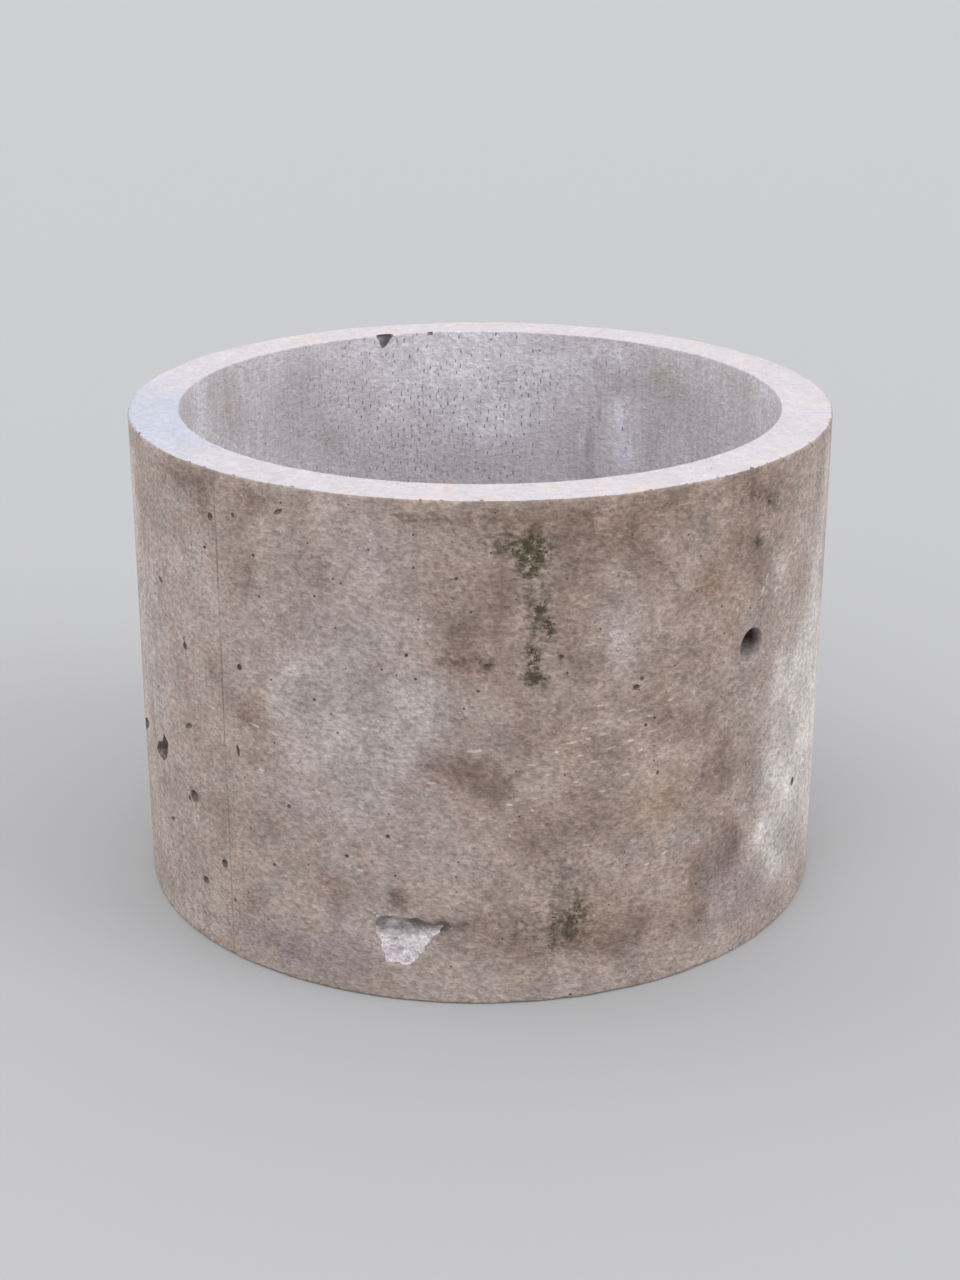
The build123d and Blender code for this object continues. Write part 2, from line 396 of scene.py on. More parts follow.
# damp soaked into the skin; the patches on the flake and just above it, at azimuths 28 to 42 and heights 109
# to 141, are partly painted shadow under its steep upper edge
damp_and_painted_shadow = [
    (-8.1, 251, 22, 20, 0.5), (-0.6, 158, 16, 16, 0.45), (-5.8, 109, 14, 14, 0.4), (-20, 292, 34, 30, 0.35),
    (-4, 46, 95, 22, 0.5), (12, 40, 60, 16, 0.5), (-16, 44, 80, 22, 0.4), (30, 140, 12, 5, 0.8),
    (34.5, 141, 15, 8, 0.95), (38, 138, 11, 5, 0.8), (29, 119, 8, 10, 0.5), (28.6, 130, 12, 13, 0.8),
    (31.2, 127, 9, 8, 0.6), (36.5, 132, 16, 7, 0.7), (30.4, 109, 7, 9, 0.45), (-1.5, 742, 12, 14, 0.8),
    (-3, 770, 34, 40, 0.4), (4, 786, 14, 8, 0.8), (11, 782, 14, 8, 0.8), (22, 190, 14, 20, 0.4),
    (40, 568, 26, 9, 0.6), (45, 562, 9, 10, 0.7), (34, 784, 14, 12, 0.5), (61, 792, 20, 6, 0.5),
    (67, 742, 14, 5, 0.5), (66, 716, 16, 6, 0.5), (84, 706, 22, 9, 0.45), (81.4, 776, 13, 8, 0.75),
    (90.4, 703, 16, 9, 0.75), (93.6, 754, 14, 9, 0.7), (66.2, 697, 6, 13, 0.7), (66.3, 808, 16, 8, 0.7),
    (85.6, 681, 10, 8, 0.7), (71, 745, 10, 5, 0.6), (30.9, 178, 15, 17, 0.8), (41.2, 138, 14, 10, 0.75),
    (20, 183, 14, 16, 0.5), (28.5, 247, 15, 12, 0.5), (21.6, 146, 30, 16, 0.3), (55, 800, 14, 6, 0.5),
    (76, 806, 20, 6, 0.6), (47.8, 394, 14, 16, 0.5), (10, 560, 8, 8, 0.4), (79.3, 405, 14, 12, 0.4),
    (33, 130, 42, 15, 0.75), (77, 726, 40, 50, 0.35), (88, 770, 60, 30, 0.4), (60, 770, 60, 40, 0.35),
    (95, 700, 30, 60, 0.3), (72, 800, 60, 12, 0.5), (80, 343, 10, 12, 0.6), (83, 312, 26, 6, 0.4),
    (87.5, 210, 14, 44, 0.45), (92.5, 762, 26, 18, 0.45), (49, 750, 30, 40, 0.35), (38.6, 138, 14, 12, 0.7),
    (41, 100, 26, 14, 0.5), (75, 95, 40, 26, 0.3), (57, 120, 30, 40, 0.35), (28, 238, 14, 8, 0.6),
    (71, 293, 8, 7, 0.6), (66.3, 283, 9, 6, 0.5),
]
form_streaks = [
    (-32, 420, 200, 480, 0.95), (-8, 420, 90, 440, 0.6), (112, 450, 130, 320, 0.8), (85, 150, 80, 80, 0.7),
]
bore_light = [
    (205, 60, 60, 42, 0.7), (228, 70, 150, 90, 0.8), (220, 165, 90, 50, 0.75), (192.6, 142, 20, 28, 0.95),
    (191, 205, 32, 44, 0.7), (240, 22, 160, 22, 0.5), (195, 30, 60, 24, 0.45), (272, 25, 60, 30, 0.4),
    (147, 30, 60, 60, 0.6), (300, 60, 40, 70, 0.6), (163, 110, 40, 40, 0.25),
]
bore_dull = [
    (225, 262, 190, 42, 0.4), (268, 130, 100, 110, 0.6), (155, 150, 110, 160, 0.35),
    (181, 110, 50, 90, 0.35), (250, 230, 60, 40, 0.4), (199.2, 215, 9, 60, 0.9), (197, 140, 7, 40, 0.6),
    (187, 82, 80, 18, 0.7), (184, 190, 24, 70, 0.5), (172, 90, 90, 60, 0.5), (258, 190, 42, 40, 0.6),
    (250, 130, 30, 60, 0.4), (285, 110, 70, 60, 0.5), (200, 262, 24, 40, 0.5), (265, 100, 60, 90, 0.45),
    (170, 190, 60, 60, 0.4),
]
bore_brown = [
    (183, 50, 40, 26, 0.3), (150, 40, 90, 26, 0.3), (258, 190, 30, 30, 0.4), (288, 70, 60, 60, 0.4),
    (178, 70, 70, 40, 0.35), (290, 40, 60, 30, 0.3), (160, 30, 60, 20, 0.3),
]
pitting = [
    (235, 160, 200, 130, 1.0), (212, 120, 60, 90, 0.7), (255, 110, 80, 110, 0.8), (240, 240, 170, 60, 0.7),
    (190, 60, 60, 60, 0.2), (60, 300, 200, 300, 0.4), (330, 300, 200, 200, 0.4),
]


def amount(azimuth, height, patches, radius):
    """How much of a stain lies at these places on a wall, from its patches."""
    clean = np.ones(len(azimuth))
    for centre, level, wide, tall, strength in patches:
        right = np.radians(around(azimuth, centre)) * radius * 1000 / wide
        up = (height * 1000 - level) / tall
        clean *= 1 - strength * np.exp(-1.1 * (right**2 + up**2))
    return 1 - clean


def azimuth_radius_height(mesh):
    """Where every vertex is, with its azimuth in degrees."""
    spots = np.empty(len(mesh.vertices) * 3)
    mesh.vertices.foreach_get("co", spots)
    x, y, z = spots.reshape(-1, 3).T
    return np.degrees(np.arctan2(x, -y)), np.hypot(x, y), z


def write_on(mesh, name, values):
    """Gives every vertex its value under this name."""
    layer = mesh.attributes.get(name) or mesh.attributes.new(name, "FLOAT", "POINT")
    layer.data.foreach_set("value", values.astype(np.float32))


def give_stains(mesh):
    """Writes how much of each stain every vertex has. The back, which isn't seen, has the broad stains
    of the front again, mirrored about the lifting holes, wider, taller and weaker."""
    azimuth, radius, z = azimuth_radius_height(mesh)
    on_bore = (radius < bore_radius + 0.012) & (z < ring_height - 0.001)
    wider, taller, weaker = 1.3, 1.2, 0.6
    for name, patches, on_back in (
        ("washed_grey", washed_grey, True), ("brown_film", brown_film, True),
        ("iron_tint", iron_tint, True), ("violet_tint", violet_tint, True),
        ("form_streaks", form_streaks, True), ("lime_and_painted_edge_light", lime_and_painted_edge_light, False),
        ("algae_film", algae_film, False), ("damp_and_painted_shadow", damp_and_painted_shadow, False),
    ):
        back = [
            (270 - a, h, wider * wide, taller * tall, weaker * much) for a, h, wide, tall, much in patches
        ]
        found = amount(azimuth, z, patches + back * on_back, outer_radius)
        write_on(mesh, name, found * ~on_bore)
    for name, patches in (
        ("bore_light", bore_light), ("bore_dull", bore_dull), ("bore_brown", bore_brown), ("pitting", pitting)
    ):
        write_on(mesh, name, amount(azimuth, ring_height - z, patches, bore_radius) * on_bore)
    joint = np.zeros(len(z))
    for middle in form_joints:
        off = np.radians(around(azimuth, middle)) * outer_radius
        joint = np.maximum(joint, 1 - np.abs(off) / (form_joint_width / 2))
    write_on(mesh, "joint_dirt", np.clip(joint, 0, 1) * ~on_bore)
    write_on(mesh, "rim_warmth", 1 - amount(azimuth, z, [(-30, 820, 300, 400, 1.0)], outer_radius))


def new_concrete(name, sand, flecks, blotches):
    """A material, its nodes, the ring's own coordinates and the sandy skin, mottled by these shares."""
    material = bpy.data.materials.new(name)
    material.use_nodes = True
    tree = material.node_tree
    place = add_node(tree, "ShaderNodeTexCoord").outputs["Object"]
    mix = add_node(
        tree, "ShaderNodeGroup",
        {"Place": place, "Sand": sand, "Flecks": flecks, "Blotches": blotches}, node_tree=sand_and_cement,
    )
    return material, tree, place, mix.outputs


def coated(tree, colour, *coats):
    """Lays tones over a colour, one after another, each as far as its pattern covers."""
    for cover, tone in coats:
        colour = add_node(
            tree, "ShaderNodeMix", {"Factor": cover, "A": colour, "B": linear(tone)}, data_type="RGBA"
        )
    return colour


def stained(tree, colour, name, tone, spots, ragged, start, end, strength):
    """Lays one of the mesh's stains over a colour, broken up by these spots."""
    here = add_node(tree, "ShaderNodeAttribute", attribute_name=name).outputs["Fac"]
    return add_node(
        tree, "ShaderNodeGroup",
        {"Under": colour, "Stain": linear(tone), "Amount": here, "Pattern": spots, "Ragged": ragged,
         "From": start, "To": end, "Strength": strength},
        node_tree=stain,
    )


def speckled(tree, colour, level):
    """Makes a colour lighter and darker by this level, 1 leaving it as it is."""
    return add_node(tree, "ShaderNodeVectorMath", {0: colour, "Scale": level}, operation="SCALE")


def finish_surface(tree, colour, height, depth, roughness=0.9):
    """Gives the shader its colour and the relief of the surface, up to this depth in metres."""
    bump = add_node(tree, "ShaderNodeBump", {"Strength": 1.0, "Distance": depth, "Height": height})
    shader = tree.nodes["Principled BSDF"]
    connect(tree, shader, {"Base Color": colour, "Roughness": roughness, "Normal": bump})


def two_toned_concrete(name, shares, spots, first, second, depth, roughness=0.9):
    """A plain material, where one tone runs into the other by one of the skin's patterns."""
    material, tree, place, mix = new_concrete(name, *shares)
    colour = coated(tree, linear(first), (mix[spots], second))
    finish_surface(tree, speckled(tree, colour, mix["Level"]), mix["Relief"], depth, roughness)
    return material


# Concrete cast against the oiled steel of the outer form: a tight grey cement skin, weathered through
# to its sand, with soil, iron, lime and algae in it. It gives the eye a dry, mottled warm grey. It is
# blotchiest where it is soiled most.
form_face, tree, place, mix = new_concrete("form_cast_concrete", 0.23, 0.46, 0.35)
soiled = add_node(tree, "ShaderNodeAttribute", attribute_name="brown_film").outputs["Fac"]
blotchy = add_node(tree, "ShaderNodeMath", {0: soiled, 1: 0.45, 2: 0.35}, operation="MULTIPLY_ADD")
connect(tree, mix["Level"].node, {"Blotches": blotchy})
hue = mottling(tree, place, 0.050, 2.0, 0.5, 0.30, 1.00)
colour = coated(tree, linear("#a89c95"), (mix["Clouds"], "#9c8f87"), (hue, "#9d897e"))
# the stains in the order in which they came: (name, tone, pattern, Ragged, From, To, Strength)
for coat in (
    ("washed_grey", "#b2a9a6", mix["Ragged"], 0.3, 0.0, 1.0, 0.8),
    ("brown_film", "#7c665a", mix["Ragged"], -0.15, 0.0, 1.1, 0.92),
    ("iron_tint", "#9a7c67", mix["Ragged"], -0.15, 0.05, 1.1, 0.55),
    ("violet_tint", "#887c7f", mix["Ragged"], 0.4, 0.0, 1.0, 0.75),
    # lime bloom, and painted light along the outer face's left and right edges
    ("lime_and_painted_edge_light", "#cdc6c2", mix["Ragged"], 0.12, 0.0, 1.0, 0.95),
    # damp, and painted shadow under the flake's steep upper edge
    ("damp_and_painted_shadow", "#4a3f39", mix["Ragged"], -0.9, 0.15, 1.05, 0.85),
    ("algae_film", "#48432e", mix["Flecks"], -0.65, 0.05, 1.05, 0.85),
):
    colour = stained(tree, colour, *coat)
# oil and water have run down the form, in streaks 9 mm wide
drawn_out = add_node(tree, "ShaderNodeMapping", {"Vector": place, "Scale": (110.0, 110.0, 5.0)})
runs = mottling(tree, drawn_out, 1.0, 2.5, 0.6, 0.3, 0.7)
runs = add_node(tree, "ShaderNodeMath", {0: runs, 1: 0.5}, operation="SUBTRACT")
streaked = add_node(tree, "ShaderNodeAttribute", attribute_name="form_streaks").outputs["Fac"]
streaked = add_node(tree, "ShaderNodeMath", {0: streaked, 1: 0.24, 2: 0.05}, operation="MULTIPLY_ADD")
runs = add_node(tree, "ShaderNodeMath", {0: runs, 1: streaked, 2: 1.0}, operation="MULTIPLY_ADD")
colour = speckled(tree, speckled(tree, colour, runs), mix["Level"])
scraped = add_node(tree, "ShaderNodeMath", {0: mix["Scrapes"], 1: mix["Blotches"]}, operation="MULTIPLY")
scraped = add_node(tree, "ShaderNodeMath", {0: scraped, 1: 0.30}, operation="MULTIPLY")
dirt = add_node(tree, "ShaderNodeAttribute", attribute_name="joint_dirt").outputs["Fac"]
dirt = add_node(tree, "ShaderNodeMath", {0: dirt, 1: mix["Ragged"]}, operation="MULTIPLY")
colour = coated(tree, colour, (scraped, "#d2c8c1"), (mix["Pinholes"], "#54483e"), (dirt, "#746961"))
finish_surface(tree, colour, mix["Relief"], 0.0013)

# Concrete trowelled by hand at the top: cement paste worked up into a near-white skin. It gives the eye
# a smooth pale ring, bluish at the left and faintly tinged with orange elsewhere.
rim_face, tree, place, mix = new_concrete("trowelled_concrete", 0.10, 0.16, 0.10)
warmth = add_node(tree, "ShaderNodeAttribute", attribute_name="rim_warmth").outputs["Fac"]
tinge = mottling(tree, place, 0.05, 2.0, 0.6, 0.50, 0.95)
tinge = add_node(tree, "ShaderNodeMath", {0: tinge, 1: warmth}, operation="MULTIPLY")
colour = coated(tree, linear("#afb2bf"), (warmth, "#bfb9be"), (tinge, "#cbb7ad"))
colour = coated(tree, speckled(tree, colour, mix["Level"]), (mix["Pinholes"], "#9a928c"))
finish_surface(tree, colour, mix["Relief"], 0.0010, roughness=0.8)

# Concrete cast against the steel core: paler and cleaner than outside, and faintly lilac, with runs
# 7 mm wide down it, and dark dashes among the pits.
core_face, tree, place, mix = new_concrete("core_cast_concrete", 0.16, 0.26, 0.16)
colour = coated(tree, linear("#c5c0c5"), (mix["Clouds"], "#bcb6b9"))
for name, tone, strength in (
    ("bore_light", "#d4d1db", 0.9), ("bore_dull", "#a39ca0", 0.85), ("bore_brown", "#a1907f", 0.8)
):
    colour = stained(tree, colour, name, tone, mix["Ragged"], 0.7, 0.0, 1.0, strength)
drawn_out = add_node(tree, "ShaderNodeMapping", {"Vector": place, "Scale": (150.0, 150.0, 16.0)})
runs = add_node(
    tree, "ShaderNodeTexNoise", {"Vector": drawn_out, "Scale": 1.0, "Detail": 2.5, "Roughness": 0.6}
)
dashes = add_node(tree, "ShaderNodeMapRange", {"Value": runs, "From Min": 0.60, "From Max": 0.68})
runs = add_node(
    tree, "ShaderNodeMapRange",
    {"Value": runs, "From Min": 0.3, "From Max": 0.7, "To Min": 0.90, "To Max": 1.10},
)
colour = speckled(tree, speckled(tree, colour, runs), mix["Level"])
pitted = add_node(tree, "ShaderNodeAttribute", attribute_name="pitting").outputs["Fac"]
dashes = add_node(tree, "ShaderNodeMath", {0: dashes, 1: pitted}, operation="MULTIPLY")
dashes = add_node(tree, "ShaderNodeMath", {0: dashes, 1: 0.6}, operation="MULTIPLY")
finish_surface(tree, coated(tree, colour, (dashes, "#8b8388")), mix["Relief"], 0.0009)

# The foot, cast on a pallet and bedded in mortar: plain grey concrete.
foot_face = two_toned_concrete(
    "pallet_cast_concrete", (0.2, 0.4, 0.3), "Clouds", "#a39c97", "#8f8782", 0.0010
)
for material in (form_face, rim_face, core_face, foot_face):
    casting_mesh.materials.append(material)


# The lifting holes. A round steel plug through each side of the wall left a hole for the lifting bar,
# 56 mm across, with its mouths rounded off inside and out. The pair is level and opposite.
lifting_hole_azimuths = (90, 270)
lifting_hole_radius = 0.028
lifting_hole_height = 0.530
lifting_mouth = 0.004
points_round_hole = 40
plug_depths = (-0.006, -0.001, 0.0, 0.0007, 0.0016, 0.0028, 0.004, 0.012, 0.026, 0.0425)


def cut(piece, cutter):
    """Takes a cutting shape out of the casting, and leaves its own material on what it cuts."""
    knife = piece.modifiers.new("cut", "BOOLEAN")
    knife.operation, knife.solver, knife.object = "DIFFERENCE", "EXACT", cutter
    knife.material_mode = "TRANSFER"
    made = bpy.data.meshes.new_from_object(piece.evaluated_get(bpy.context.evaluated_depsgraph_get()))
    piece.modifiers.remove(knife)
    piece.data = made
    bpy.data.objects.remove(cutter)


def cut_out(name, shape, material):
    """Cuts a shape made in bmesh out of the casting. The faces that it leaves have this material."""
    bmesh.ops.recalc_face_normals(shape, faces=shape.faces)
    mesh = bpy.data.meshes.new(name)
    shape.to_mesh(mesh)
    shape.free()
    mesh.materials.append(material)
    cutter = bpy.data.objects.new(name, mesh)
    bpy.context.scene.collection.objects.link(cutter)
    cut(cast_ring, cutter)


def face_loops(shape, loops):
    """Joins each loop of corners to the next by a band of faces."""
    for near, far in zip(loops, loops[1:]):
        for i in range(len(near)):
            n = (i + 1) % len(near)
            shape.faces.new((near[i], near[n], far[n], far[i]))


def from_axis(tree, place, low, high):
    """How far a place is from the ring's axis, low to high stretched to 0 to 1."""
    flat = add_node(tree, "ShaderNodeVectorMath", {0: place, 1: (1.0, 1.0, 0.0)}, operation="MULTIPLY")
    away = add_node(tree, "ShaderNodeVectorMath", {0: flat}, operation="LENGTH").outputs["Value"]
    return add_node(tree, "ShaderNodeMapRange", {"Value": away, "From Min": low, "From Max": high})


# concrete cast round the plug, painted paler than the outer face as painted light on the hole's lower wall,
# lit from above, and painted shade, dark brown, in the upper part of the hole behind its mouth
plug_face, tree, place, mix = new_concrete("plug_cast_concrete", 0.2, 0.4, 0.3)
height = add_node(tree, "ShaderNodeSeparateXYZ", {"Vector": place}).outputs["Z"]
# painted shade: dark brown over the hole's upper half, fading out towards its bottom, from 3 mm inside the
# outer mouth to 23 mm in
upper = add_node(tree, "ShaderNodeMapRange", {"Value": height, "From Min": 0.505, "From Max": 0.528})
dark = add_node(
    tree, "ShaderNodeMath", {0: from_axis(tree, place, 0.582, 0.562), 1: upper}, operation="MULTIPLY"
)
# painted light: the base is paler than the outer face, as if the hole's lower wall were lit from above
colour = coated(tree, linear("#b3a8a4"), (mix["Clouds"], "#a29792"), (dark, "#43342f"))
finish_surface(tree, speckled(tree, colour, mix["Level"]), mix["Relief"], 0.0010)


def plug(shape, azimuth):
    """The plug: a bar along the wall's depth that widens through each mouth and on past the face."""
    rings = []
    for depth in plug_depths:
        wide = lifting_hole_radius
        if depth < lifting_mouth:
            inside = max(0.0, depth)
            wide += lifting_mouth - (lifting_mouth**2 - (lifting_mouth - inside) ** 2) ** 0.5
            wide += max(0.0, -depth) * 0.3
        rings.append((outer_radius - depth, wide))
    middle = (outer_radius + bore_radius) / 2
    rings += [(2 * middle - radius, wide) for radius, wide in reversed(rings[:-1])]
    a, loops = radians(azimuth), []
    for radius, wide in rings:
        loop = []
        for i in range(points_round_hole):
            t = 2 * pi * i / points_round_hole
            rough = 1 + 0.03 * (uneven((cos(t), sin(t), radius * 30), 0.35, 20 + azimuth) - 0.5)
            across, up = wide * rough * cos(t), wide * rough * sin(t)
            loop.append(shape.verts.new((
                radius * sin(a) + across * cos(a), -radius * cos(a) + across * sin(a),
                lifting_hole_height + up,
            )))
        loops.append(loop)
    face_loops(shape, loops)
    shape.faces.new(loops[0])
    shape.faces.new(loops[-1])


shape = bmesh.new()
for azimuth in lifting_hole_azimuths:
    plug(shape, azimuth)
cut_out("lifting_plugs", shape, plug_face)

# Broken places. The wall was knocked in handling: a hollow and a long gouge beside it on the left, a
# fresh flake near the foot, and two nicks in the bore's top arris. Each shows broken concrete, with
# its stones, 9 or 10 mm wide, a little paler or darker than the rest.
old_break, tree, place, mix = new_concrete("old_broken_concrete", 0.3, 0.6, 0.3)
stones = add_node(tree, "ShaderNodeTexVoronoi", {"Vector": place, "Scale": 1 / 0.009}, feature="F1")
stones = add_node(tree, "ShaderNodeSeparateColor", {"Color": stones.outputs["Color"]})
colour = coated(tree, linear("#64564d"), (stones, "#83766e"))
# painted shade: the broken face darkens to near-black brown from 9 mm under the outer face to 21 mm, darkest
# in the hollow's deep low part
near_face = from_axis(tree, place, 0.564, 0.576)
colour = add_node(
    tree, "ShaderNodeMix", {"Factor": near_face, "A": linear("#3b302b"), "B": colour}, data_type="RGBA"
)
finish_surface(tree, speckled(tree, colour, mix["Level"]), mix["Relief"], 0.0020)

# the nicks are small and dull, a plain grey mottled by flecks
nicked_rim = two_toned_concrete(
    "nicked_rim_concrete", (0.3, 0.5, 0.3), "Flecks", "#665d61", "#7f767a", 0.0014
)

# the flake is fresh: near-white, but darker along its upper side, with wet dirt in mottles and painted shadow
# under its steep upper edge
fresh_break, tree, place, mix = new_concrete("fresh_broken_concrete", 0.25, 0.45, 0.25)
stones = add_node(tree, "ShaderNodeTexVoronoi", {"Vector": place, "Scale": 1 / 0.010}, feature="F1")
stones = add_node(tree, "ShaderNodeSeparateColor", {"Color": stones.outputs["Color"]})
colour = coated(tree, linear("#bcb1b5"), (stones, "#e2dade"))
# painted shadow and wet dirt along the flake's upper side, from the damp patches
colour = stained(tree, colour, "damp_and_painted_shadow", "#5f5450", mix["Ragged"], 0.9, 0.0, 0.9, 0.9)
finish_surface(tree, speckled(tree, colour, mix["Level"]), mix["Relief"], 0.0020)


def broken_piece(shape, azimuth, height, outline, deepest, depth, seed, inside=False, rough=0.0012, jags=0):
    """The piece that broke out: a jagged mouth, in millimetres right and up as the face is looked at,
    and a rough bowl down to the deepest point. It is bent round the face, and stands 8 mm out of it."""
    radius, side = (bore_radius, -1) if inside else (outer_radius, 1)
    stands_out, mouth = 0.008, []
    for (x0, y0), (x1, y1) in zip(outline, outline[1:] + outline[:1]):
        steps = max(2, round(((x1 - x0) ** 2 + (y1 - y0) ** 2) ** 0.5 / 5))
        for i in range(steps):
            x, y = x0 + (x1 - x0) * i / steps, y0 + (y1 - y0) * i / steps
            small, shift = 1.8 * (i > 0), []
            for u, v, fine, coarse in ((x, y, 30, 34), (y, x, 31, 35)):
                little = small * (uneven((u, v, seed), 6, fine) * 2 - 1)
                shift.append((u + little) + jags * (uneven((u, v, seed), 16, coarse) * 2 - 1))
            mouth.append(tuple(shift))

    def vertex(x, y, out):
        r = radius + side * out
        return shape.verts.new(place_at(azimuth + side * degrees(x / 1000 / radius), r, height + y / 1000))

    levels = [(0.0, stands_out), (0.0, 0.002)]
    for share in (0.0, 0.10, 0.24, 0.42, 0.62, 0.82):
        levels.append((share, -depth * (0.12 + 0.88 * (1 - (1 - share) ** 2.4)) if share else 0.0006))
    loops = []
    for share, out in levels:
        loop = []
        for x, y in mouth:
            px, py = x + (deepest[0] - x) * share, y + (deepest[1] - y) * share
            lump = rough * (uneven((px, py, seed * 9), 9, 32) - 0.5) * 2 * (share > 0)
            lump += rough * 0.7 * (uneven((px, py, seed * 5), 4, 33) - 0.5) * 2 * (share > 0)
            loop.append(vertex(px, py, out + lump))
        loops.append(loop)
    face_loops(shape, loops)
    for loop, out in ((loops[0], stands_out), (loops[-1], -depth)):
        x = deepest[0] if out < 0 else sum(p[0] for p in mouth) / len(mouth)
        y = deepest[1] if out < 0 else sum(p[1] for p in mouth) / len(mouth)
        middle = vertex(x, y, out)
        for i in range(len(mouth)):
            shape.faces.new((loop[i], loop[(i + 1) % len(mouth)], middle))


shape = bmesh.new()
hollow = [(-32, -15), (-14, -21), (10, -21), (27, -8), (35, 21), (16, 31), (6, 12), (-16, 5)]
broken_piece(shape, -20.3, 0.293, hollow, (9, -9), 0.023, 1, rough=0.0020)
gouge = [(-56, -34), (-34, -30), (8, -10), (40, 8), (44, 18), (20, 15), (-20, 2), (-54, -22)]
broken_piece(shape, -32.5, 0.288, gouge, (4, -1), 0.011, 2, rough=0.0014)
cut_out("old_pieces", shape, old_break)
shape = bmesh.new()
nick = [(-18, 5), (20, 5), (17, -5), (4, -22), (-5, -27)]
broken_piece(shape, 244.9, ring_height, nick, (1, -10), 0.012, 3, inside=True, rough=0.0008)
nick = [(-8, 5), (8, 5), (5, -7), (-5, -7)]
broken_piece(shape, 234.7, ring_height, nick, (0, -3), 0.006, 4, inside=True, rough=0.0005)
cut_out("nicks", shape, nicked_rim)
shape = bmesh.new()
flake = [(-50, 22), (-44, 34), (20, 35), (67, 24), (13, -52), (-30, -48)]
broken_piece(shape, 32.2, 0.112, flake, (6, 24), 0.009, 5, rough=0.0026, jags=6)
cut_out("flake_piece", shape, fresh_break)

# Air holes. Bubbles that the concrete trapped against the outer form left round and slanted holes;
# their walls are smooth cement, dark brown with dirt. The largest are set one by one.
hole_skin = two_toned_concrete(
    "trapped_air_skin", (0.1, 0.3, 0.2), "Clouds", "#5d5048", "#77695f", 0.0004, 0.85
)
# (azimuth, height, width, height of the mouth, depth, slant in degrees), lengths in millimetres
large_air_holes = [
    (-8.1, 253, 21, 20, 9, 20), (-0.6, 160, 15, 14, 6, 30), (-5.8, 111, 16, 12, 5, 15),
    (105.8, 240, 14, 14, 5, 0), (-8.7, 510, 12, 13, 5, 30), (4.8, 513, 11, 11, 5, 0),
    (-0.3, 742, 12, 12, 4, 0), (67.4, 513, 11, 10, 4, 0), (-8.8, 373, 24, 9, 3, 25),
    (-16.4, 598, 17, 8, 3, -10), (-16.5, 179, 19, 7, 3, 20), (3.8, 371, 7, 20, 4, 10),
    (13.6, 302, 8, 8, 3, 0), (69.2, 448, 6, 6, 3, 0), (70.7, 457, 6, 5, 2.5, 0), (92.6, 756, 10, 7, 3, -20),
    (55.7, 576, 8, 6, 3, 0), (33.2, 579, 6, 6, 3, 0), (40.5, 701, 6, 6, 3, 0), (34.5, 542, 5, 5, 2, 0),
    (4.7, 756, 8, 8, 3, 0), (13.4, 777, 18, 7, 3, 30), (44.9, 566, 8, 7, 3, 0), (30.0, 281, 7, 7, 3, 0),
    (71.5, 365, 6, 8, 3, 0), (-2.0, 690, 9, 6, 3, 15), (8.5, 700, 7, 6, 3, 0), (23.4, 238, 8, 6, 3, 0),
]
ball_out = 0.54  # how far a cutting ball's middle stands out of the face, as a share of the hole's depth
mouth_share, depth_share = 1874, 650  # its mouth's width and its depth then, in thousandths of its radius


def rough_ball(shape, azimuth, height, wide, tall, deep, slant):
    """A rough, flattened ball set in the outer face, to leave a hollow of this mouth and depth."""
    a = radians(azimuth)
    face = Matrix(((cos(a), 0, sin(a)), (sin(a), 0, -cos(a)), (0, 1, 0))).to_4x4()
    surface = outer_face(azimuth % 360, height / 1000)
    centre = Vector(place_at(azimuth, surface + deep / 1000 * ball_out, height / 1000))
    stretch = Matrix.Diagonal((wide / mouth_share, tall / mouth_share, deep / depth_share, 1))
    turn = Matrix.Rotation(radians(slant), 4, "Z")
    before = len(shape.verts)
    bmesh.ops.create_icosphere(
        shape, subdivisions=3 if wide > 9 and deep > 2 else 2, radius=1,
        matrix=Matrix.Translation(centre) @ face @ turn @ stretch,
    )
    shape.verts.ensure_lookup_table()
    for v in list(shape.verts)[before:]:
        v.co += (v.co - centre) * 0.45 * (uneven(v.co, min(wide, tall) / 2500, 40) - 0.5)


shape = bmesh.new()
for hole in large_air_holes:
    rough_ball(shape, *hole)
cut_out("large_air_holes", shape, hole_skin)

# Knocks and scrapes. Slings, shovels and stones have scraped the cement skin off in shallow marks,
# down to the pale paste under the dirt.
scraped_skin = two_toned_concrete(
    "scraped_concrete", (0.2, 0.45, 0.2), "Blotches", "#a3978f", "#bcb0a8", 0.0008
)
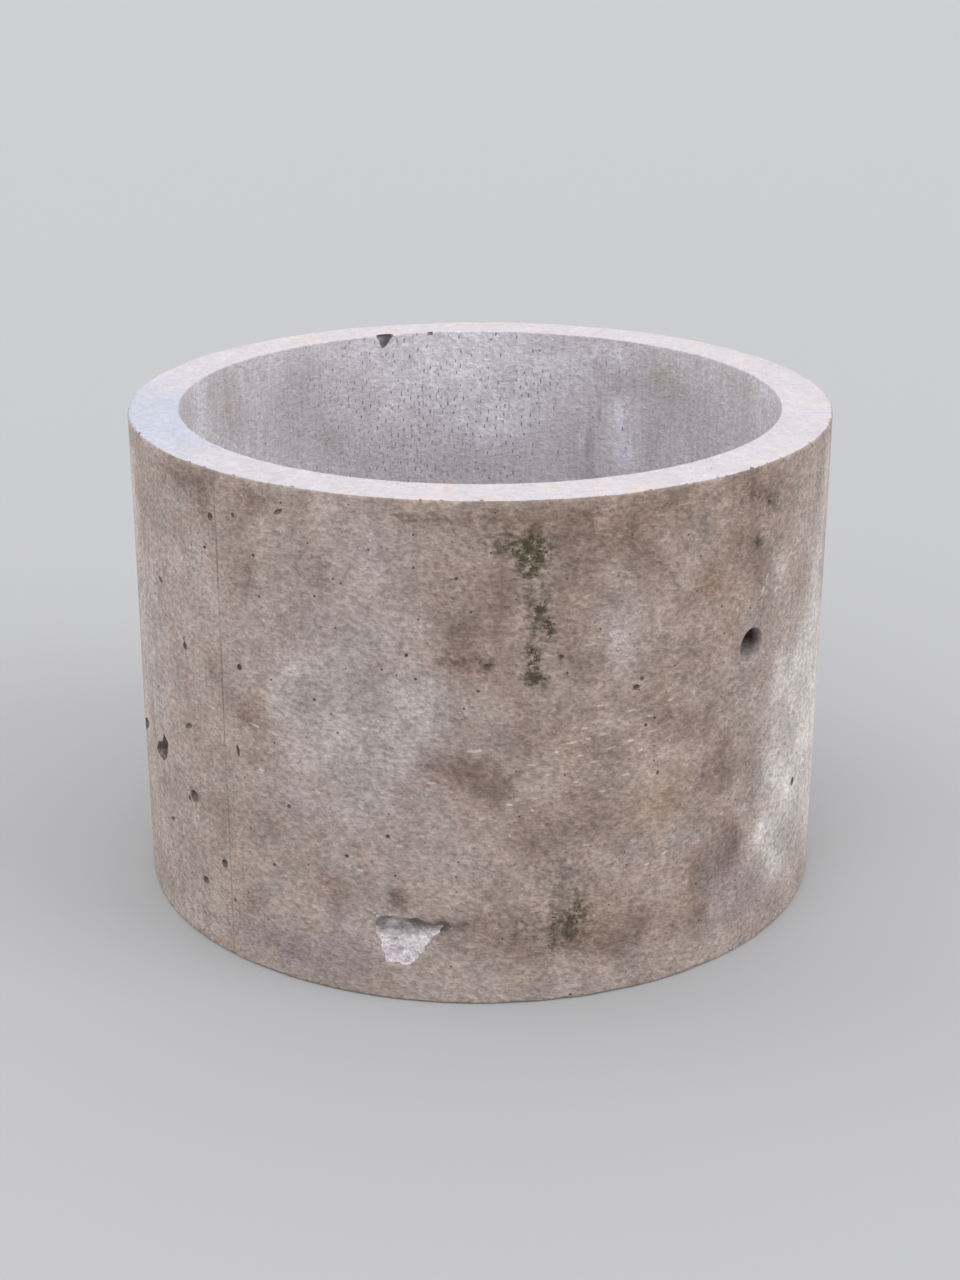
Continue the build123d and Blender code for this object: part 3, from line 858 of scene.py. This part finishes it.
# (azimuth, height, length, width, slant in degrees), lengths in millimetres
knocks = [
    (16.8, 681, 22, 6, -40), (15.0, 692, 9, 5, 0), (25.8, 667, 7, 4, 0), (31.5, 617, 8, 6, 0),
    (36.6, 628, 10, 7, -30), (30.9, 545, 9, 6, 20), (-7.4, 423, 40, 3.5, -3), (-2.2, 427, 26, 3, -8),
    (7.4, 424, 24, 3.5, -8), (11.0, 420, 26, 5, -14), (26.6, 457, 18, 6, 10), (21.4, 408, 16, 7, 0),
    (8.5, 352, 15, 6, 0), (21.9, 361, 16, 5, 10), (29.8, 362, 12, 5, 0), (36.8, 376, 16, 5, 0),
    (12.8, 311, 14, 5, -20), (23.2, 301, 10, 6, 0), (39.0, 315, 8, 6, 0), (30.1, 742, 7, 6, 0),
    (32.2, 426, 11, 9, 0), (43.2, 431, 24, 7, 5), (92.1, 614, 20, 7, 60), (95.9, 608, 18, 6, 60),
    (90.8, 575, 16, 5, 65), (101.0, 509, 16, 6, 80), (62.3, 446, 10, 6, 0), (66.8, 477, 16, 3, 5),
    (61.7, 492, 14, 3, 0), (51.5, 405, 14, 4, -10), (89.9, 255, 22, 8, 35), (44.2, 319, 14, 6, 15),
    (60.2, 265, 16, 5, 0), (96.4, 121, 30, 3, 50), (94.2, 96, 24, 3, 40), (99.6, 137, 24, 3, 55),
    (47.6, 153, 12, 3.5, 0), (25.5, 218, 12, 5, 0), (31.8, 268, 10, 6, 0), (97.6, 562, 12, 5, 80),
    (87.6, 508, 9, 6, -55), (88.8, 499, 14, 6, -20), (90.8, 499, 12, 5, 20), (57.5, 437, 18, 4.5, 5),
    (60.0, 441, 9, 5, 0), (63.6, 421, 20, 4.5, 8), (66.8, 428, 12, 4.5, 0), (58.9, 415, 10, 5, -6),
    (61.2, 402, 22, 4.5, 4), (68.4, 409, 9, 5, 10), (55.2, 424, 8, 4, 0), (64.9, 396, 8, 4, 0),
    (70.6, 437, 14, 4.5, 6), (59.4, 458, 12, 4.5, 0), (69.9, 463, 10, 5, 4), (73.4, 482, 12, 4.5, 8),
    (54.1, 388, 12, 4.5, 0), (58.2, 372, 8, 4, 0), (66.1, 373, 16, 4.5, 5), (62.4, 351, 10, 5, 0),
    (48.2, 342, 12, 4.5, -5), (51.6, 331, 8, 4, 0), (84.6, 262, 12, 4, 20), (80.9, 246, 16, 4.5, 25),
    (77.4, 236, 10, 5, 15), (73.2, 226, 14, 4.5, 20), (70.1, 214, 9, 5, 15), (33.4, 349, 12, 4.5, 0),
    (18.1, 337, 10, 4, 5), (25.8, 335, 9, 5, 0), (14.2, 276, 8, 4, 0), (35.2, 287, 10, 5, 0),
    (10.1, 602, 8, 4, 0), (19.2, 633, 7, 4, 0), (27.6, 582, 8, 4, 0), (37.1, 513, 10, 4, 0),
    (39.4, 476, 9, 4, 10), (93.2, 634, 14, 5, 60), (89.6, 548, 12, 5, 70), (94.6, 531, 14, 5, 75),
    (25.6, 141, 9, 5, 20), (26.9, 133, 7, 6, 0), (24.4, 131, 6, 4, 0), (27.6, 148, 6, 4, 0),
    (98.6, 446, 14, 4, 80), (101.2, 402, 12, 4, 80), (95.2, 341, 12, 4, 70), (86.2, 601, 9, 5, 50),
]
knock_depth = 0.8
shape = bmesh.new()
for azimuth, height, length, wide, slant in knocks:
    rough_ball(shape, azimuth, height, length, wide, knock_depth, slant)
cut_out("knocks", shape, scraped_skin)


# Small air holes. Many more bubbles, 3 to 8 mm wide, are scattered all over the outer face, and most
# of them lie under the rim, where the rising air gathered.
def random_sizes(tree, given, steepness):
    """A size for each, from Smallest to Largest. The steeper, the fewer are large."""
    size = add_node(tree, "FunctionNodeRandomValue", {"Min": 0.0, "Max": 1.0, "Seed": 6}, data_type="FLOAT")
    size = add_node(tree, "ShaderNodeMath", {0: size, 1: steepness}, operation="POWER")
    return add_node(
        tree, "ShaderNodeMapRange",
        {"Value": size, "To Min": given.outputs["Smallest"], "To Max": given.outputs["Largest"]},
    )


def rough_balls(tree, spots, rotation, scale, lump, detail, roughness, push, skin):
    """Sets a ball on each spot, pushes it out of true by lumps of this size, and gives it its skin."""
    ball = add_node(tree, "GeometryNodeMeshIcoSphere", {"Radius": 0.5, "Subdivisions": 2})
    balls = add_node(
        tree, "GeometryNodeInstanceOnPoints",
        {"Points": spots, "Instance": ball, "Rotation": rotation, "Scale": scale},
    )
    balls = add_node(tree, "GeometryNodeRealizeInstances", {"Geometry": balls})
    lumps = add_node(
        tree, "ShaderNodeTexNoise", {"Scale": 1 / lump, "Detail": detail, "Roughness": roughness},
        noise_dimensions="3D",
    )
    off = add_node(
        tree, "ShaderNodeVectorMath", {0: lumps.outputs["Color"], 1: (0.5, 0.5, 0.5)}, operation="SUBTRACT"
    )
    off = add_node(tree, "ShaderNodeVectorMath", {0: off, "Scale": push}, operation="SCALE")
    balls = add_node(tree, "GeometryNodeSetPosition", {"Geometry": balls, "Offset": off})
    return add_node(tree, "GeometryNodeSetMaterial", {"Geometry": balls, "Material": skin})


def scattering_tree():
    """Geometry nodes that scatter hollows over the faces of one material, no two touching: the
    cutting shapes are rough balls, flattened into the face and drawn out upwards."""
    tree, given, result = new_group(
        "scattered_hollows", "GeometryNodeTree",
        "Geometry Casting, Material Face, Float Nearest, Float Most, Float Smallest, Float Largest, "
        "Float Tallness, Float Depth, Float Slant, Int Seed, Material Skin",
        "Geometry Hollows",
    )
    found = given.outputs
    chosen = add_node(tree, "GeometryNodeMaterialSelection", {"Material": found["Face"]})
    share = add_node(tree, "GeometryNodeInputNamedAttribute", {"Name": "crowding"}, data_type="FLOAT")
    spots = add_node(
        tree, "GeometryNodeDistributePointsOnFaces",
        {"Mesh": found["Casting"], "Selection": chosen, "Distance Min": found["Nearest"],
         "Density Max": found["Most"], "Density Factor": share, "Seed": found["Seed"]},
        distribute_method="POISSON",
    )
    across = add_node(
        tree, "FunctionNodeAlignRotationToVector", {"Vector": spots.outputs["Normal"]}, axis="Z"
    )
    upright = add_node(
        tree, "FunctionNodeAlignRotationToVector", {"Rotation": across, "Vector": (0.0, 0.0, 1.0)},
        axis="Y", pivot_axis="Z",
    )
    tilt = add_node(tree, "FunctionNodeRandomValue", {"Min": -1.0, "Max": 1.0, "Seed": 5}, data_type="FLOAT")
    tilt = add_node(tree, "ShaderNodeMath", {0: tilt, 1: found["Slant"]}, operation="MULTIPLY")
    tilt = add_node(tree, "ShaderNodeCombineXYZ", {"Z": tilt})
    upright = add_node(
        tree, "FunctionNodeRotateRotation", {"Rotation": upright, "Rotate By": tilt}, rotation_space="LOCAL"
    )
    size = random_sizes(tree, given, 2.5)
    tall = add_node(tree, "FunctionNodeRandomValue", {"Min": 0.75, "Max": 1.35, "Seed": 7}, data_type="FLOAT")
    tall = add_node(tree, "ShaderNodeMath", {0: tall, 1: found["Tallness"]}, operation="MULTIPLY")
    tall = add_node(tree, "ShaderNodeMath", {0: tall, 1: size}, operation="MULTIPLY")
    deep = add_node(tree, "ShaderNodeMath", {0: size, 1: found["Depth"]}, operation="MULTIPLY")
    stretch = add_node(tree, "ShaderNodeCombineXYZ", {"X": size, "Y": tall, "Z": deep})
    balls = rough_balls(tree, spots, upright, stretch, 0.004, 1.0, 0.5, 0.0016, found["Skin"])
    connect(tree, result, {"Hollows": balls})
    return tree


scattered_hollows = scattering_tree()


def made_by(tree, name, values, host):
    """What a geometry nodes tree makes on a mesh with these inputs, as a plain mesh object."""
    carrier = bpy.data.objects.new(name, host)
    bpy.context.scene.collection.objects.link(carrier)
    nodes = carrier.modifiers.new("nodes", "NODES")
    nodes.node_group = tree
    for item in tree.interface.items_tree:
        if item.in_out == "INPUT" and item.name in values:
            nodes[item.identifier] = values[item.name]
    made = bpy.data.meshes.new_from_object(carrier.evaluated_get(bpy.context.evaluated_depsgraph_get()))
    carrier.modifiers.remove(nodes)
    carrier.data = made
    return carrier


def give_crowding(patches, radius, from_rim):
    """How thickly the hollows lie at each of the casting's vertices, 0 to 1."""
    azimuth, _, z = azimuth_radius_height(cast_ring.data)
    height = ring_height - z if from_rim else z
    write_on(cast_ring.data, "crowding", amount(azimuth, height, patches, radius))


give_crowding(
    [(5, 740, 160, 60, 0.9), (10, 500, 900, 60, 0.2), (-5, 200, 120, 160, 0.5), (60, 600, 200, 160, 0.4),
     (200, 700, 300, 90, 0.6), (270, 300, 200, 200, 0.4)],
    outer_radius, from_rim=False,
)
cut(cast_ring, made_by(
    scattered_hollows, "small_air_holes",
    {"Face": form_face, "Nearest": 0.018, "Most": 260.0, "Smallest": 0.0030, "Largest": 0.0085,
     "Tallness": 0.9, "Depth": 0.7, "Slant": 1.2, "Seed": 3, "Skin": hole_skin},
    cast_ring.data,
))

# Streak pits. The bore's face is pitted by thin upright streaks, where water ran down the core as it
# was filled. Inside they are a dull grey, somewhat darker than the face.
pit_skin = two_toned_concrete(
    "streak_pit_skin", (0.1, 0.3, 0.2), "Clouds", "#8d868c", "#a19ba0", 0.0003, 0.85
)
give_crowding(pitting, bore_radius, from_rim=True)
cut(cast_ring, made_by(
    scattered_hollows, "streak_pits",
    {"Face": core_face, "Nearest": 0.0130, "Most": 9000.0, "Smallest": 0.0026, "Largest": 0.0036,
     "Tallness": 2.6, "Depth": 0.5, "Slant": 0.12, "Seed": 8, "Skin": pit_skin},
    cast_ring.data,
))


# Chipped arrises. Concrete breaks away first along its edges, most at the outer edge of the rim. The
# chips are 3 to 16 mm wide, and weathered like the face beside them.
def edge_tree():
    """Geometry nodes that set rough chips along a level circle, unevenly spaced, none touching."""
    tree, given, result = new_group(
        "edge_chips", "GeometryNodeTree",
        "Geometry Unused, Float Radius, Float Level, Int Count, Float Smallest, Float Largest, "
        "Float Scatter, Int Seed, Material Skin",
        "Geometry Chips",
    )
    found = given.outputs
    spots = add_node(tree, "GeometryNodePoints", {"Count": found["Count"]})
    number = add_node(tree, "GeometryNodeInputIndex")
    shift = add_node(
        tree, "FunctionNodeRandomValue", {"Min": -0.27, "Max": 0.27, "Seed": found["Seed"]},
        data_type="FLOAT",
    )
    turn = add_node(tree, "ShaderNodeMath", {0: number, 1: shift}, operation="ADD")
    turn = add_node(tree, "ShaderNodeMath", {0: turn, 1: found["Count"]}, operation="DIVIDE")
    turn = add_node(tree, "ShaderNodeMath", {0: turn, 1: 2 * pi}, operation="MULTIPLY")
    place = {"Z": found["Level"]}
    for axis, way in (("X", "COSINE"), ("Y", "SINE")):
        part = add_node(tree, "ShaderNodeMath", {0: turn}, operation=way)
        place[axis] = add_node(tree, "ShaderNodeMath", {0: part, 1: found["Radius"]}, operation="MULTIPLY")
    place = add_node(tree, "ShaderNodeCombineXYZ", place)
    off, drawn, tumble = (
        add_node(
            tree, "FunctionNodeRandomValue", {"Min": least, "Max": most, "Seed": seed},
            data_type="FLOAT_VECTOR",
        )
        for least, most, seed in (
            ((-1.0, -1.0, -1.0), (1.0, 1.0, 1.0), 4),
            ((0.8, 0.6, 0.5), (1.5, 1.1, 0.9), 8),
            ((-0.5, -0.5, -0.6), (0.5, 0.5, 0.6), 9),
        )
    )
    off = add_node(tree, "ShaderNodeVectorMath", {0: off, "Scale": found["Scatter"]}, operation="SCALE")
    spots = add_node(tree, "GeometryNodeSetPosition", {"Geometry": spots, "Position": place, "Offset": off})
    size = random_sizes(tree, given, 2.2)
    stretch = add_node(tree, "ShaderNodeVectorMath", {0: drawn, "Scale": size}, operation="SCALE")
    along = add_node(tree, "ShaderNodeMath", {0: turn, 1: pi / 2}, operation="ADD")
    along = add_node(tree, "ShaderNodeCombineXYZ", {"Z": along})
    tumble = add_node(tree, "ShaderNodeVectorMath", {0: tumble, 1: along}, operation="ADD")
    chips = rough_balls(tree, spots, tumble, stretch, 0.005, 2.0, 0.7, 0.0045, found["Skin"])
    connect(tree, result, {"Chips": chips})
    return tree


edge_chips = edge_tree()
for name, radius, level, count, smallest, largest, scatter, seed, skin in (
    ("rim_outer_large", outer_radius + 0.001, ring_height, 30, 0.005, 0.015, 0.0015, 1, form_face),
    ("rim_outer_small", outer_radius - 0.001, ring_height - 0.001, 190, 0.004, 0.010, 0.0010, 2, form_face),
    ("rim_inner", bore_radius - 0.001, ring_height + 0.001, 40, 0.003, 0.009, 0.0010, 3, core_face),
    ("foot_outer", outer_radius + 0.001, 0.000, 60, 0.005, 0.016, 0.0015, 4, form_face),
    ("foot_inner", bore_radius - 0.001, 0.000, 30, 0.004, 0.010, 0.0015, 5, core_face),
):
    cut(cast_ring, made_by(
        edge_chips, name,
        {"Radius": radius, "Level": level, "Count": count, "Smallest": smallest, "Largest": largest,
         "Scatter": scatter, "Seed": seed, "Skin": skin},
        bpy.data.meshes.new(name),
    ))

# The casting is done: loose edges are drawn together, hard edges kept, and the stains laid on. Last,
# it is laid flat on the map that keeps its colours.
shape = bmesh.new()
shape.from_mesh(cast_ring.data)
bmesh.ops.remove_doubles(shape, verts=shape.verts, dist=0.00002)
bmesh.ops.dissolve_degenerate(shape, edges=shape.edges, dist=0.00001)
bmesh.ops.triangulate(shape, faces=shape.faces)
shape.to_mesh(cast_ring.data)
shape.free()
cast_ring.data.attributes.remove(cast_ring.data.attributes["crowding"])
give_stains(cast_ring.data)


def unroll(mesh):
    """Lays the ring flat on the map that keeps its colours. The outer face and the bore are unrolled end
    to end and cut into three rows. Over them lie the rim and the foot, and the lifting holes' walls."""
    places, corners = np.empty(len(mesh.vertices) * 3), np.empty(len(mesh.loops), int)
    mesh.vertices.foreach_get("co", places)
    mesh.loops.foreach_get("vertex_index", corners)
    normals, owners = np.empty(len(mesh.polygons) * 3), np.empty(len(mesh.polygons), int)
    mesh.polygons.foreach_get("normal", normals)
    mesh.polygons.foreach_get("material_index", owners)
    x, y, z = places.reshape(-1, 3)[corners].reshape(-1, 3, 3).transpose(2, 0, 1)
    radius, azimuth = np.hypot(x, y), np.arctan2(x, -y) % (2 * pi)
    azimuth = azimuth[:, :1] + (azimuth - azimuth[:, :1] + pi) % (2 * pi) - pi
    middle, wall_width, rows = (bore_radius + outer_radius) / 2, outer_radius - bore_radius, 3
    gap, flat_enough, holes_apart = 0.01, 0.75, 0.2
    low, on_bore = z.mean(1)[:, None], radius.mean(1)[:, None] < middle
    lying = np.abs(normals.reshape(-1, 3)[:, 2:]) > flat_enough
    on_foot, on_rim = lying & (low < 0.012), lying & (low > ring_height - 0.02)
    on_end = on_foot | on_rim
    in_hole = (owners == list(mesh.materials).index(plug_face))[:, None]
    wall = np.where(on_bore, azimuth * bore_radius + 2 * pi * outer_radius + gap, azimuth * outer_radius)
    ends = azimuth * middle + on_foot * (2 * pi * middle + gap)
    row_length = (4 * pi * middle + gap) / rows
    along = np.where(on_end, ends, wall)
    row = np.clip(along.mean(1)[:, None] // row_length, 0, rows - 1)
    along -= row * row_length
    base = np.where(on_end, rows * (ring_height + gap), 0)
    base = base + row * np.where(on_end, wall_width + gap, ring_height + gap)
    turn = np.arctan2(z - lifting_hole_height, y)
    turn = turn[:, :1] + (turn - turn[:, :1] + pi) % (2 * pi) - pi
    along = np.where(in_hole, (turn + pi) * lifting_hole_radius + (x < 0) * holes_apart, along)
    base = np.where(in_hole, rows * (wall_width + ring_height + 2 * gap), base)
    up = np.where(in_hole | on_end, radius - bore_radius, z)
    across, high = row_length + 4 * gap, rows * ring_height + (rows + 1) * wall_width + 8 * gap
    laid = np.stack([(along + 2 * gap) / across, (base + up + gap / 2) / high], -1)
    mesh.uv_layers.new(name="OFBake").uv.foreach_set("vector", laid.reshape(-1).astype(np.float32))


unroll(cast_ring.data)
cast_ring.data.shade_smooth()
cast_ring.data.set_sharp_from_angle(angle=radians(38))
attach(cast_ring, "root")
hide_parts("culvert_ring")

# Moss. Small dark cushions of it have rooted in the skin where water stands longest, in the stained
# column on the front and at the foot below it. They grow on the casting and move with it.
moss = bpy.data.materials.new("dark_green_moss")  # dull dark olive, broken up by tufts of 4 mm
moss.use_nodes = True
tree = moss.node_tree
place = add_node(tree, "ShaderNodeTexCoord").outputs["Object"]
tufts = add_node(
    tree, "ShaderNodeTexNoise", {"Vector": place, "Scale": 1 / 0.004, "Detail": 2.0, "Roughness": 0.6}
)
paler = add_node(tree, "ShaderNodeMapRange", {"Value": tufts, "From Min": 0.35, "From Max": 0.65})
colour = coated(tree, linear("#343020"), (paler, "#565038"))
finish_surface(tree, colour, tufts.outputs["Fac"], 0.0010, roughness=0.95)

# the skin under the stained column, as a bed of 3 mm squares from its azimuths and heights
bed_columns, bed_rows = 84, 288
bed_azimuths = [41 + 21 * i / bed_columns for i in range(bed_columns + 1)]
bed_heights = [0.07 + 0.72 * i / bed_rows for i in range(bed_rows + 1)]
bed_points, bed_quads = [], []
for azimuth in bed_azimuths:
    bed_points += [place_at(azimuth, outer_face(azimuth, z), z) for z in bed_heights]
for j in range(bed_columns):
    for k in range(bed_rows):
        a = j * len(bed_heights) + k
        bed_quads.append((a, a + len(bed_heights), a + len(bed_heights) + 1, a + 1))
moss_bed = bpy.data.meshes.new("moss_bed")
moss_bed.from_pydata(bed_points, [], bed_quads)
x, y, z = np.array(bed_points).T
rooted = amount(np.degrees(np.arctan2(x, -y)), z, algae_film, outer_radius)
broken_up = np.array([uneven(spot, 0.009, 50) for spot in bed_points])
write_on(moss_bed, "rooted", np.clip((rooted * (0.2 + 1.6 * broken_up) - 0.62) / 0.4, 0, 1))

moss_tree, given, result = new_group(
    "moss_cushions", "GeometryNodeTree",
    "Geometry Bed, Float Nearest, Float Most, Float Smallest, Float Largest, Int Seed, Material Skin",
    "Geometry Moss",
)
found = given.outputs
share = add_node(moss_tree, "GeometryNodeInputNamedAttribute", {"Name": "rooted"}, data_type="FLOAT")
spots = add_node(
    moss_tree, "GeometryNodeDistributePointsOnFaces",
    {"Mesh": found["Bed"], "Distance Min": found["Nearest"], "Density Max": found["Most"],
     "Density Factor": share, "Seed": found["Seed"]},
    distribute_method="POISSON",
)
size = add_node(
    moss_tree, "FunctionNodeRandomValue", {"Min": found["Smallest"], "Max": found["Largest"], "Seed": 2},
    data_type="FLOAT",
)
low = add_node(moss_tree, "ShaderNodeCombineXYZ", {"X": 1.0, "Y": 1.0, "Z": 0.55})
low = add_node(moss_tree, "ShaderNodeVectorMath", {0: low, "Scale": size}, operation="SCALE")
cushion = add_node(moss_tree, "GeometryNodeMeshIcoSphere", {"Radius": 0.5, "Subdivisions": 1})
cushions = add_node(
    moss_tree, "GeometryNodeInstanceOnPoints",
    {"Points": spots, "Instance": cushion, "Rotation": spots.outputs["Rotation"], "Scale": low},
)
spin = add_node(
    moss_tree, "FunctionNodeRandomValue",
    {"Min": (-0.3, -0.3, 0.0), "Max": (0.3, 0.3, 6.28), "Seed": 3}, data_type="FLOAT_VECTOR",
)
cushions = add_node(moss_tree, "GeometryNodeRotateInstances", {"Instances": cushions, "Rotation": spin})
cushions = add_node(moss_tree, "GeometryNodeRealizeInstances", {"Geometry": cushions})
cushions = add_node(moss_tree, "GeometryNodeSetMaterial", {"Geometry": cushions, "Material": found["Skin"]})
connect(moss_tree, result, {"Moss": cushions})
moss_cushions = made_by(
    moss_tree, "moss_cushions",
    {"Nearest": 0.0016, "Most": 500000.0, "Smallest": 0.0014, "Largest": 0.0034, "Seed": 4, "Skin": moss},
    moss_bed,
)
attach(moss_cushions, "root")

# The studio: a wide pale matt floor under a soft even sky, with a weak sun in front and at each side.
# The camera looks down on the rim from a person's eye level.
floor_mesh = bpy.data.meshes.new("studio_floor")
half = 40
corners = [(-half, -half, 0), (half, -half, 0), (half, half, 0), (-half, half, 0)]
floor_mesh.from_pydata(corners, [], [(0, 1, 2, 3)])
studio_floor = bpy.data.objects.new("studio_floor", floor_mesh)
bpy.context.scene.collection.objects.link(studio_floor)
floor_paint = bpy.data.materials.new("matt_floor_paint")
floor_paint.use_nodes = True
floor_shader = floor_paint.node_tree.nodes["Principled BSDF"]
connect(floor_paint.node_tree, floor_shader, {"Base Color": linear("#a9a9ab"), "Roughness": 0.95})
floor_mesh.materials.append(floor_paint)

world = bpy.data.worlds.new("soft_studio")
bpy.context.scene.world = world
world.use_nodes = True
tree = world.node_tree
towards = add_node(tree, "ShaderNodeTexCoord").outputs["Generated"]
upwards = add_node(tree, "ShaderNodeSeparateXYZ", {"Vector": towards}).outputs["Z"]
brighter = add_node(
    tree, "ShaderNodeMapRange",
    {"Value": upwards, "From Min": 0.0, "From Max": 1.0, "To Min": 0.60, "To Max": 1.45},
)
sky = tree.nodes["Background"]
connect(tree, sky, {"Color": (0.985, 0.99, 1.0, 1.0), "Strength": brighter})
backdrop = add_node(tree, "ShaderNodeBackground", {"Color": linear("#d2d2d4"), "Strength": 1.0})
path = add_node(tree, "ShaderNodeLightPath")
seen = add_node(tree, "ShaderNodeMixShader", {"Fac": path.outputs["Is Camera Ray"], 1: sky, 2: backdrop})
connect(tree, tree.nodes["World Output"], {"Surface": seen})

for name, azimuth, elevation, strength, spread in (
    ("front_lamp", 20, 38, 0.55, 50), ("right_lamp", 112, 30, 0.95, 40), ("left_lamp", -60, 20, 0.55, 40),
):
    lamp = bpy.data.lights.new(name, "SUN")
    lamp.energy, lamp.angle = strength, radians(spread)
    sun = bpy.data.objects.new(name, lamp)
    a, e = radians(azimuth), radians(elevation)
    towards = Vector((sin(a) * cos(e), -cos(a) * cos(e), sin(e)))
    sun.rotation_euler = towards.to_track_quat("Z", "Y").to_euler()
    bpy.context.scene.collection.objects.link(sun)

camera_data = bpy.data.cameras.new("camera")
camera_data.lens = 61.0
camera = bpy.data.objects.new("camera", camera_data)
camera.location = (2.453, -2.551, 1.729)
aim = Vector((0.0, 0.0, 0.385)) - camera.location
camera.rotation_euler = aim.to_track_quat("-Z", "Y").to_euler()
bpy.context.scene.collection.objects.link(camera)
bpy.context.scene.camera = camera
bpy.context.scene.view_settings.view_transform = "Standard"

bpy.context.view_layer.update()
